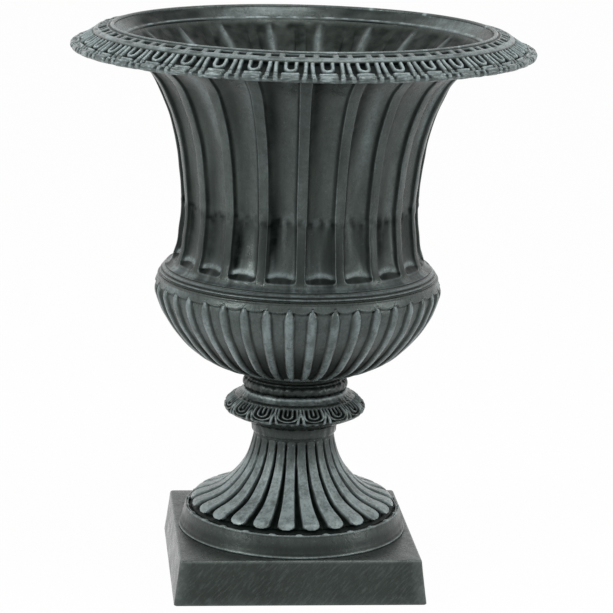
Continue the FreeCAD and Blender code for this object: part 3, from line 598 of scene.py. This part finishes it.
# ---------------------------------------------------------------- bowl
def bowl():
    """The ribbed bowl: round-backed ribs under the scalloped edge of a plain band."""
    rib_half = 0.21  # of a unit
    rib = np.sin(np.linspace(-pi / 2, pi / 2, 13)) * rib_half
    gap = 0.5 + np.linspace(-1, 1, 13)[1:-1] * (0.5 - rib_half)
    angle, place = units(RIBS, RIB_TURN, np.r_[rib, gap])
    place = np.where(place > 0.5, place - 1, place)
    crest = [(54.0, 227.4), (62.0, 227.9), (72.0, 229.4), (83.3, 232.6), (95.5, 238.0), (107.6, 245.0),
             (124.3, 260.0), (136.6, 275.0), (146.2, 290.0), (153.0, 307.0), (154.9, 316.0), (154.6, 320.0),
             (153.4, 324.0), (152.4, 327.5), (151.8, 329.6)]
    total = along(crest)[-1]
    where = np.r_[np.arange(0, 12, 1.1), np.arange(12, total - 27, 2.7), np.arange(total - 27, total, 0.62)]
    line = smooth(crest, where)
    rise, height = column(where), column(line[:, 1])
    pitch = 2 * pi * column(line[:, 0]) / RIBS
    across = place[None, :] * pitch

    # the band's edge hangs lowest between the ribs, whose tips are round
    hang = np.sqrt(1 - (1 - 2 * np.abs(place)) ** 2)
    over = rise - (total - 2.9 - 4.9 * hang + 0.35 * waves(angle, 0, 17, 23))
    on_band = ease(over, -0.5, 0.4)
    tip = np.clip((rise - (total - 25)) / 21.5, 0, 1)
    half = rib_half * pitch * np.sqrt(1 - tip ** 2.4)
    rib_in = half - np.abs(across)
    on_rib = ease(rib_in, -1.4, 0.5) * (1 - on_band)
    from_crest = np.clip(np.abs(across) / np.maximum(half, 0.5), 0, 1)

    deepest, rib_round = 3.4, 1.3
    begin = column(ease(where, 1.0, 5.0))
    valley = deepest * column(np.interp(where, [0, 8, 40, 120, total], [0.5, 0.8, 0.95, 1.0, 1.0]))
    swell = rib_round * (1 - from_crest ** 2)
    level = -valley * (1 - np.maximum(on_rib, on_band)) + (swell - rib_round) * on_rib * (1 - 0.3 * tip)
    lip = hump(over, 0.7, 0.8)
    relief = begin * (level + 0.45 * lip) + 0.2 * waves(angle, height, 26, 21)
    relief = relief * column(ease(total - where, 0.0, 2.0))

    # paint: rubbed ribs, a band rubbed pale with painted highlights in patches and a painted highlight
    # along its lip, and valleys darker towards the foot, with painted shade beside the ribs and under
    # the band's edge
    tone = 0.76 + 0.24 * ease(height, 236, 300)
    ridge = 1 - from_crest ** 3
    blotch = np.clip(0.8 + 0.3 * waves(angle, height / 3, 16, 29), 0.2, 1.2)
    wear_and_sheen = on_rib * (0.14 + ridge * tone) * begin * blotch + 0.26 * lip * (0.3 + 0.7 * hang)
    wear_and_sheen = wear_and_sheen + 0.27 * (1 - on_band) * (1 - on_rib) * ease(height, 250, 290)
    wear_and_sheen = wear_and_sheen + (0.16 + 0.40 * np.clip(waves(angle, height, 70, 25), 0, 1.5)) * on_band * (1 - lip)
    low = 1 - ease(height, 240, 288)
    beside_rib = hump(rib_in, -1.2, 0.8) * (1 - on_band)
    under_lip = hump(over, -1.1, 0.8)
    shade_and_stain = (1 - np.maximum(on_rib, on_band)) * (0.04 + 0.86 * low + 0.4 * under_lip) + 0.5 * beside_rib

    skin = Skin(angle)
    base = rounded([(COLLAR_SEAT, RING_TOP), (50.9, 222.4), (53.2, 223.4), (54.2, 225.2), (54.0, 227.2)],
                   0.8, 4)
    up_base = column(base[:, 1])
    # painted shade at the foot of the bowl, above the neck ring
    skin.add(base, wear_and_sheen=0.25 * ease(up_base, 224, 226), shade_and_stain=0.6 * (1 - ease(up_base, 221, 224)))
    skin.add(line, relief=relief, wear_and_sheen=wear_and_sheen, shade_and_stain=shade_and_stain)
    shoulder = smooth([(151.6, 330.2), (151.9, 330.9), (151.6, 331.8), (150.8, 332.3), (149.9, 332.3),
                       (149.1, 332.7), (148.6, 333.4), (148.3, 333.9)], 0.42)
    up_shoulder = column(shoulder[:, 1])
    # painted shade where the shoulder meets the bell
    skin.add(shoulder, wear_and_sheen=0.12 * hump(up_shoulder, 331.2, 0.7), shade_and_stain=0.5 * ease(up_shoulder, 332.6, 333.4))

    # the flange under the bell, the hollow down to the floor, and the spigot below it, the last two in
    # painted shade
    skin.add([(FLANGE_BORE, BOWL_TOP), (FLANGE_BORE, BOWL_FLANGE), (140.0, BOWL_FLANGE)])
    skin.add(smooth(crest[4:12], 4.0), relief=-CREST_TO_HOLLOW, downwards=True, shade_and_stain=0.25)
    skin.add([(80.0, 238.2), (60.0, BOWL_FLOOR), (22.0, BOWL_FLOOR), (12.0, BOWL_FLOOR),
              (ROD_HOLE, BOWL_FLOOR), (ROD_HOLE, RING_TOP), (SPIGOT_BORE, RING_TOP), (SPIGOT_BORE, 200.0),
              (SPIGOT, 200.0), (SPIGOT, RING_TOP)], shade_and_stain=0.3)
    skin.build("bowl_cast", body_iron, ["bowl"])


# ---------------------------------------------------------------- bell
def bell():
    """The fluted body: deep flat-bottomed flutes between narrow fillets, the same inside."""
    # places across a flute and across a fillet, from -1 to 1, with off in the other's columns
    flute = np.sin(np.linspace(-pi / 2, pi / 2, 21))
    flat = np.array([-0.9, -0.45, 0.45, 0.9])
    off = 2.0
    on_flute = np.tile(np.r_[flute, np.full(len(flat), off)], FLUTES)[None, :]
    on_fillet = np.tile(np.r_[np.full(len(flute), off), flat], FLUTES)[None, :]
    fluted = on_flute < off

    side = [(143.5, 342.2), (141.4, 342.7), (139.4, 343.9), (137.6, 346.0), (136.4, 348.6), (135.3, 352.0),
            (132.0, 362.0), (129.9, 380.0), (128.2, 395.0), (127.6, 411.0), (128.5, 425.0), (131.1, 450.0),
            (134.8, 475.0), (141.0, 500.0), (150.6, 525.0), (162.8, 548.0), (176.5, 562.0), (191.5, 577.8)]
    total = along(side)[-1]
    where = np.r_[np.arange(0, 25, 0.75), np.arange(25, total - 22, 3.4), np.arange(total - 22, total, 1.5)]
    line = smooth(side, where)
    height = column(line[:, 1])
    pitch = 2 * pi * column(line[:, 0]) / FLUTES
    fillet = column(np.interp(line[:, 1], [345, 360, 405, 415, 500, 575], [9.0, 8.6, 8.4, 9.6, 10.0, 11.5]))
    angle, _ = shared_units(FLUTES, FLUTE_TURN, flute, flat, (pitch - fillet) / pitch)

    # a flute's depth: steep sides, a slightly hollow back, and a foot that slants out to a round end
    full = column(np.interp(line[:, 1], [348, 385, 411, 500, 575], [5.6, 6.6, 6.4, 7.2, 7.6]))
    half = (pitch - fillet) / 2
    aside = np.abs(on_flute) * half
    side_slope, foot_slope, foot_height, foot_round, corner_width = 2.4, 0.72, 348.6, 5.0, 5.5
    side_wall = np.clip(side_slope * (half - aside), 0, None)
    back = full * (1 - 0.4 * (aside / (half - 1.8)) ** 2)
    trough = soft_min(side_wall, back, 0.7) * (side_wall > 0)
    corner = np.clip((aside - (half - corner_width)) / corner_width, 0, 1)
    foot_line = foot_height + foot_round * (1 - np.sqrt(1 - corner ** 2))
    slanted = np.clip(height - foot_line, 0, None) * foot_slope
    depth = soft_min(trough, slanted, 0.9)
    depth = depth * (1 - 0.55 * ease(height, 520, 566)) * (1 - ease(height, 556, 577)) * fluted
    past = slanted - trough  # above the foot's slant, on the back
    depth = depth - 1.3 * hump(past, 3.0, 3.2) * (past > 0) * (1 - (aside / half) ** 2) * fluted

    # relief, with a lumpy seam of the mould at the waist
    lump = waves(angle, height, 22, 31)
    pits = waves(angle, height, 9, 37)
    waist = hump(height, 411, 7)
    seam = 0.5 * hump(height, 411.5, 1.4) * (0.6 + 0.6 * pits) + 0.35 * waist * pits
    settled = column(ease(where, 0, 6)) * column(ease(total - where, 0, 5))
    round_off = 0.3 * (np.abs(np.where(fluted, 0, on_fillet)) ** 6) + 0.3 * (np.abs(on_flute) == 1)
    relief = (-depth - round_off * ease(height, 346, 350) + 0.18 * lump + seam) * settled

    # pale: fillets and flute edges, paler above the waist as painted light, a painted highlight over
    # each flute's slanted foot, the foot's rubbed edge, a skirt below them with a painted highlight
    # sweep, painted glints on the waist seam, and pale patches and a paler right half on each
    # flute's back above the waist, which are painted light
    edge = ((np.abs(on_flute) > 0.985) & fluted) * 1.0
    fillet_mask = ~fluted * 1.0
    in_flute = fluted * ease(trough, 0.6, 2.4)
    tail = np.exp(-np.clip(past, 0, 99) / 6)
    foot_highlight = (0.8 * hump(past, 1.6, 1.5) + 0.5 * (past > 0) * tail) * in_flute
    crescent = ease(-past, 0.2, 1.2) * ease(slanted, 0.5, 1.4) * fluted
    foot_edge = hump(height - foot_line, -0.3, 0.9) * fluted
    above = ease(height, 405, 420)
    settle = ease(height, 347, 352)
    worn = np.clip(0.75 + 0.4 * waves(angle, height / 5, 20, 33), 0.1, 1.3)
    # painted light: fillets and flute edges paler above the waist than below it
    wear_and_sheen = settle * (0.16 * fillet_mask * (0.1 + 0.9 * above) + (0.24 + 0.16 * above) * edge) * worn
    smear = np.clip(waves(angle, height / 9, 13, 35) - 0.3, 0, 1.2) * (1 - above) * in_flute
    skirt = ease(348.5 - height, 0, 4) * (0.34 + 0.4 * np.clip(waves(angle, height, 60, 39), 0, 1.5))
    cast = np.clip(waves(angle, height / 7, 28, 77) - 0.1, 0, 1.2) * (1 - edge)
    # painted light: pale patches on the right half of each flute's back above the waist
    wear_and_sheen = wear_and_sheen + 0.34 * cast * settle * above * ease(on_flute, -0.5, 0.3) * fluted + 0.06 * settle
    # painted highlights over each flute's slanted foot and in a sweep on the skirt
    wear_and_sheen = wear_and_sheen + 0.62 * foot_highlight + 0.6 * foot_edge + skirt
    wear_and_sheen = wear_and_sheen + 0.5 * hump(column(where), 0.4, 0.7) + 0.16 * smear
    # painted glints on the waist seam's lumps, and painted light on the right half of each flute
    wear_and_sheen = wear_and_sheen + 0.28 * waist * np.clip(pits, 0, 1) + 0.10 * above * fluted * ease(on_flute, 0.0, 0.7)

    # dark: painted shade on the flutes' sides, on the left half of each back, in a faint crescent at
    # each foot, on the fillets below the waist and under the rim at the top; the lower flutes darker
    # below the waist, with dark pits at the waist and stains
    shade = ease(aside, half - 4.2, half - 2.2) * (1 - ease(aside, half - 0.9, half - 0.1))
    # painted shade on the flutes' sides and in a faint crescent at each foot
    shade_and_stain = 0.8 * shade * (depth > 0.3) * (1 - edge) * fluted + 0.08 * crescent
    # painted shade on the left half of each flute's back
    left_shade = ease(-on_flute, -0.25, 0.8) * fluted
    patch = np.clip(0.7 + 0.5 * waves(angle, height / 4, 34, 79), 0, 1.3)
    shade_and_stain = shade_and_stain + 0.75 * left_shade * patch * (1 - shade) * (1 - np.clip(foot_highlight, 0, 1)) * (depth > 0.3)
    murk = (1 - above) * in_flute * (1 - np.clip(foot_highlight + smear, 0, 1)) * (1 - shade)
    shade_and_stain = shade_and_stain + 0.55 * murk * patch
    # painted shade under the rim at the top; dark pits at the waist
    shade_and_stain = shade_and_stain + 0.55 * ease(height, 556, 574) + 0.4 * waist * np.clip(-pits, 0, 1) * (height < 414)
    # painted shade on the fillets below the waist
    shade_and_stain = shade_and_stain + 0.45 * (1 - above) * fillet_mask * settle * patch
    stain = 0.35 * np.clip(waves(angle, height / 6, 26, 83) - 0.4, 0, 1) * settle
    shade_and_stain = np.where(fluted, shade_and_stain, shade_and_stain + stain)

    # two beads at the shoulder, the fluted side, and the flange that carries the rim
    lowest, highest = angle[:1], angle[-1:]
    skin = Skin(lowest)
    beads = smooth([(148.6, 334.0), (149.3, 334.5), (149.4, 335.2), (148.9, 335.9), (148.1, 336.3),
                    (147.4, 336.5), (147.3, 337.0), (147.4, 337.6), (147.0, 338.3), (146.2, 339.0),
                    (145.3, 339.5), (144.5, 340.0), (144.0, 340.6), (144.0, 341.2), (143.9, 341.8)], 0.42)
    up_beads = column(beads[:, 1])
    lines = hump(up_beads, 335.3, 0.75) + hump(up_beads, 339.2, 0.8)
    ditches = hump(up_beads, 337.2, 0.7) + hump(up_beads, 341.5, 0.6)
    # pale lines on the two beads are painted highlights, the ditches painted shade
    skin.add(beads, wear_and_sheen=0.85 * lines, shade_and_stain=0.9 * ditches)
    skin.add(line, relief=relief, wear_and_sheen=wear_and_sheen, shade_and_stain=shade_and_stain, angle=angle)
    skin.add([(191.7, RIM_FLANGE), (210.0, RIM_FLANGE), (210.0, RIM_SEAT), (RIM_BORE, RIM_SEAT),
              (188.6, 583.4)], angle=highest)

    # the inside, a wall further in: a rib behind each flute, with a painted highlight down one side
    # of its crest and painted shade on the panels between
    inner = np.r_[np.arange(4, 26, 2.0), np.arange(26, total - 20, 5.0), np.arange(total - 20, total, 2.2)]
    pick = np.searchsorted(where, inner[inner < total - 1])
    tall, bulge, bite = height[pick], lump[pick], pits[pick]
    ribs = depth[pick] * ease(tall, 352, 360)
    leaf = 0.10 + 0.14 * ease(577 - tall, 0, 22)
    ridge = hump(on_flute, 0.35, leaf) * ease(580 - tall, 0, 8)
    patchy = (0.75 + 0.25 * np.clip(bulge, -1, 1)) * (0.55 + 0.45 * ease(tall, 480, 560))
    panel = 0.78 + 0.14 * np.clip(bite, -1, 1) - 0.3 * np.clip(bulge - 0.5, 0, 1)
    skin.add(line[pick], relief=-WALL - ribs - 2.8 * ridge + 0.3 * bulge, wear_and_sheen=0.85 * ridge * patchy,
             shade_and_stain=(panel - 0.75 * ridge) * ease(581 - tall, 0, 6), angle=angle[pick], downwards=True)
    skin.add([(140.2, BELL_FLANGE), (FLANGE_BORE, BELL_FLANGE), (FLANGE_BORE, BOWL_TOP)])
    skin.build("bell_cast", body_iron, ["bell"])


# ---------------------------------------------------------------- rim
def rim():
    """The wide rim: lip, a row of windows, a smooth ridge, then egg-and-dart over a rolled edge."""
    angle, place = units(EGGS, EGG_TURN, np.linspace(-0.5, 0.5, 45)[:-1])
    roll_reach, roll_height, roll_radius = 243.7, 577.8, 4.0
    roll = [(roll_reach + roll_radius * cos(a), roll_height + roll_radius * sin(a))
            for a in np.radians(np.arange(128, -136, -12))]
    top = [(205.6, 598.2), (206.3, 597.5), (207.4, 597.6), (208.8, 598.1), (213.0, 597.1), (217.0, 595.9),
           (218.4, 596.0), (220.6, 595.1), (222.9, 593.4), (224.6, 592.0), (228.5, 589.4), (233.0, 586.6),
           (237.5, 583.9), (239.9, 582.2)]
    crown = smooth(top + roll, 0.7)
    reach = column(crown[:, 0])
    far = along(crown)

    # marks, measured down from the carved band's upper edge and across from an egg or from a dart
    band_edge = 224.4
    outwards = slice(0, 60)  # the points before the edge rolls back in
    down = column(far) - np.interp(band_edge, crown[outwards, 0], far[outwards])
    pitch = 2 * pi * reach / EGGS
    across = place[None, :] * pitch
    beside = np.where(across > 0, across - pitch / 2, across + pitch / 2)
    on_band = down > -1.5
    egg = loop(across, down, 5.1, 7.6, 5.2, 1.75)
    dart_side = [(3.1, -3.0), (3.2, 5.0), (3.9, 15.0), (4.8, 24.0), (5.4, 32.0)]
    darts = stroke(np.abs(beside), down, dart_side, 1.95)
    marks = np.maximum(egg, darts)
    raised = ease(marks, -0.7, 0.5)
    field = ease(down, -0.2, 0.9) * (1 - ease(down, 14.4, 16.2))
    pad = ease(9.3 - np.abs(across), -0.4, 1.2) * ease(down, 15.2, 16.8)
    low_field = ease(down, 14.6, 16.4) * (1 - np.maximum(pad, raised)) * (1 - ease(down, 27.0, 33.0))
    lump = np.clip(waves(angle, down * 3, 9, 41), -1.6, 1.6)
    brow = pad * hump(down, 17.4, 1.1)

    # relief of the band: marks over a sunk field, and pads between the darts on the rolled edge
    field_depth, low_depth, inset, roll_inset = 3.0, 1.6, 0.5, 0.3
    relief = -field_depth * field * (1 - raised) - low_depth * low_field
    relief = relief + 0.45 * np.clip(marks, 0, 1.5) * (field + low_field > 0.1)
    relief = relief - inset + 0.3 * pad + 0.5 * brow + 0.30 * lump * ease(down, 13, 20)
    relief = np.where(down > 19, np.minimum(relief, -roll_inset), relief)

    # windows inside the ridge, wide and narrow by turns
    window_depth, window_middle, window_half = 2.5, 213.4, 4.1
    depth_in = window_half - np.abs(reach - window_middle)
    wide_window = np.minimum(6.9 - np.abs(across), depth_in)
    narrow_window = np.minimum(4.0 - np.abs(beside), depth_in)
    window = ease(np.maximum(wide_window, narrow_window), -0.35, 0.65) * (down < -2)
    relief = np.where(on_band, relief, -0.15 - window_depth * window)
    nick = waves(angle, reach, 8, 67)
    ridge = hump(reach, 220.4, 2.1) * (down < 4)
    relief = relief + (0.1 + 0.22 * nick) * ridge + 0.2 * waves(angle, reach, 14, 43)
    settled = column(ease(far, 0, 2.5)) * column(ease(far[-1] - far, 0, 2.5))
    relief = relief * settled

    # paint: rubbed marks and ridge, painted glints and a painted highlight along the pads' top edge on
    # the rolled edge, and painted shade in the fields and windows, beside the lip, in the ridge's nicks
    # and under the rolled edge
    glint = np.clip(waves(angle, down * 3, 5, 47) - 0.7, 0, 1)
    by_lip = ease(208.6 - reach, 0, 1.5)
    wear_and_sheen = field * raised * (0.42 + 0.6 * np.clip(marks, 0, 1))
    wear_and_sheen = wear_and_sheen + 0.18 * ridge * np.clip(0.9 + 0.6 * nick, 0.0, 1.8)
    wear_and_sheen = wear_and_sheen + (~on_band) * (1 - window) * (0.42 - 0.36 * by_lip)
    # a painted highlight along each pad's top edge, and painted glints
    pads = 0.24 + 0.3 * raised + 0.42 * pad * ease(lump, -0.4, 1.2) + 0.8 * brow + 1.1 * glint
    wear_and_sheen = wear_and_sheen + ease(down, 15, 18) * pads
    # painted shade under the rolled edge
    wear_and_sheen = wear_and_sheen * (1 - 0.6 * ease(down, 30, 36))
    shade_and_stain = field * (1 - raised) + 0.9 * low_field * (1 - raised) + window
    shade_and_stain = shade_and_stain + 0.35 * ease(down, 32, 38) + 0.7 * by_lip
    shade_and_stain = shade_and_stain + 0.55 * ridge * ease(-nick, 0.4, 1.2)
    shade_and_stain = shade_and_stain + 0.6 * hump(down, 0.2, 0.9) * (1 - raised)

    # up the underside, in painted shade, and over the rolled edge to the lip, chipped here and there
    skin = Skin(angle)
    lip = rounded([(201.0, 596.0), (200.9, 598.6), (202.4, 599.9), (204.3, 599.9), (205.3, 598.9)], 0.9, 5)
    edge = column(hump(lip[:, 0], 204.6, 0.8))
    chips = ease(waves(angle, 0, 11, 53), 0.9, 1.5)
    skin.add([(213.0, RIM_SEAT), (214.0, 583.2), (226.0, 579.6), (238.0, 576.0)], shade_and_stain=0.6)
    skin.add(crown[::-1], relief=relief[::-1], wear_and_sheen=wear_and_sheen[::-1], shade_and_stain=shade_and_stain[::-1])
    skin.add(lip[::-1], wear_and_sheen=0.12 + 0.35 * edge[::-1] + 0.7 * chips)

    # down the inside, with painted reflections in light and dark stretches, a broken seam above the
    # bell and painted shade at its foot
    inside = smooth([(200.9, 597.0), (199.4, 594.6), (196.4, 591.4), (193.6, 588.6), (191.8, 587.0),
                     (190.8, 586.2), (189.9, 585.4), (189.3, 584.4)], 0.8)
    tall = column(inside[:, 1])
    seam = hump(tall, 586.8, 0.7)
    # painted reflections: five light and dark stretches round the inside
    cloud = 0.9 * np.cos(5 * (angle - radians(98.6))) + 0.45 * waves(angle, tall, 110, 59)
    ripple = waves(angle, tall * 2, 26, 61)
    broken = 0.6 + 0.5 * np.clip(waves(angle, 0, 12, 61), -1, 1)
    skin.add(inside, relief=0.6 * seam * broken + 0.12 * ripple * ease(597 - tall, 0, 2),
             wear_and_sheen=0.38 * ease(cloud + 0.25 * ripple, 0.0, 1.3) + 0.8 * seam * broken,
             shade_and_stain=0.75 * ease(-cloud - 0.25 * ripple, -0.3, 0.9) * (1 - seam)
             + 0.6 * ease(586.0 - tall, 0, 1))
    skin.add([(RIM_BORE, RIM_SEAT)])
    skin.build("rim_cast", rim_iron, ["rim"])


plinth()
foot()
collar()
neck_ring()
bowl()
bell()
rim()

# The rod, bolts, screws, nuts and washers stay as they are in the CAD model.
for node in frame["nodes"].values():
    if not node.hide_render:
        node.data.materials.clear()
        node.data.materials.append(zinc_steel)


# ---------------------------------------------------------------- stage, light and camera
def seen_by(tree, first, *others):
    """1 for the named kinds of rays, 0 for all others."""
    rays = tree.nodes.new("ShaderNodeLightPath")
    seen = rays.outputs[first]
    for kind in others:
        seen = maths(tree, "MAXIMUM", seen, rays.outputs[kind])
    return seen


def floor():
    """A wide pale floor that keeps a faint shadow and otherwise shows as near white."""
    size, glow_share = 30.0, 0.98
    mesh = bpy.data.meshes.new("floor")
    corners = [(-size, -size, 0), (size, -size, 0), (size, size, 0), (-size, size, 0)]
    mesh.from_pydata(corners, [], [(0, 1, 2, 3)])
    paint, tree, shader = blank_material("floor")
    shader.inputs["Base Color"].default_value = (0.8, 0.8, 0.8, 1)
    shader.inputs["Roughness"].default_value = 0.9
    shader.inputs["Specular IOR Level"].default_value = 0.1
    glow = tree.nodes.new("ShaderNodeEmission")
    share = maths(tree, "MULTIPLY", seen_by(tree, "Is Camera Ray", "Is Glossy Ray"), glow_share)
    mix = tree.nodes.new("ShaderNodeMixShader")
    link(tree, share, mix.inputs[0])
    link(tree, shader.outputs[0], mix.inputs[1])
    link(tree, glow.outputs[0], mix.inputs[2])
    link(tree, mix.outputs[0], tree.nodes["Material Output"].inputs["Surface"])
    mesh.materials.append(paint)
    piece = bpy.data.objects.new("floor", mesh)
    scene.collection.objects.link(piece)


def world():
    """A white room where it is seen or mirrored, and a dim one as light."""
    lit, shown = 0.22, 1.0
    room = bpy.data.worlds.new("room")
    room.use_nodes = True
    tree = room.node_tree
    back = tree.nodes["Background"]
    back.inputs["Color"].default_value = (1, 1, 1, 1)
    seen = seen_by(tree, "Is Camera Ray", "Is Glossy Ray", "Is Transmission Ray")
    link(tree, between(tree, seen, 0.0, 1.0, lit, shown), back.inputs["Strength"])
    scene.world = room


def lamp(name, place, target, size, power):
    """An area lamp, in metres and watts."""
    data = bpy.data.lights.new(name, "AREA")
    data.shape = "RECTANGLE"
    data.size, data.size_y = size
    data.energy = power
    light = bpy.data.objects.new(name, data)
    scene.collection.objects.link(light)
    light.location = place
    light.rotation_euler = (Vector(target) - Vector(place)).to_track_quat("-Z", "Y").to_euler()


def camera():
    """The camera of the photograph, found from the plinth's corners and the round edges."""
    distance, height = 2813.0, 942.5
    pitch, roll, yaw, turn = radians(12.959), radians(1.55), radians(0.208), radians(5.283)
    forward = Vector((sin(yaw) * cos(pitch), cos(yaw) * cos(pitch), -sin(pitch)))
    level = Vector((cos(yaw), -sin(yaw), 0))
    upright = level.cross(forward)
    right = level * cos(roll) + upright * sin(roll)
    up = upright * cos(roll) - level * sin(roll)
    place = Vector((0, -distance, height)) * MM
    view = Matrix.Identity(4)
    for row in range(3):
        view[row] = (right[row], up[row], -forward[row], place[row])
    data = bpy.data.cameras.new("camera")
    data.sensor_width = 36.0
    data.lens = 156.07
    lens = bpy.data.objects.new("camera", data)
    scene.collection.objects.link(lens)
    lens.matrix_world = Matrix.Rotation(-turn, 4, "Z") @ view
    scene.camera = lens


floor()
world()
lamp("key", (-2.3, -1.3, 1.5), (0, 0, 0.35), (0.45, 1.6), 46)
lamp("fill", (2.4, -1.0, 1.1), (0, 0, 0.3), (0.4, 1.6), 26)
lamp("top", (0.3, -0.6, 2.4), (0, 0, 0.3), (0.9, 0.9), 18)
camera()
scene.view_settings.view_transform = "Standard"
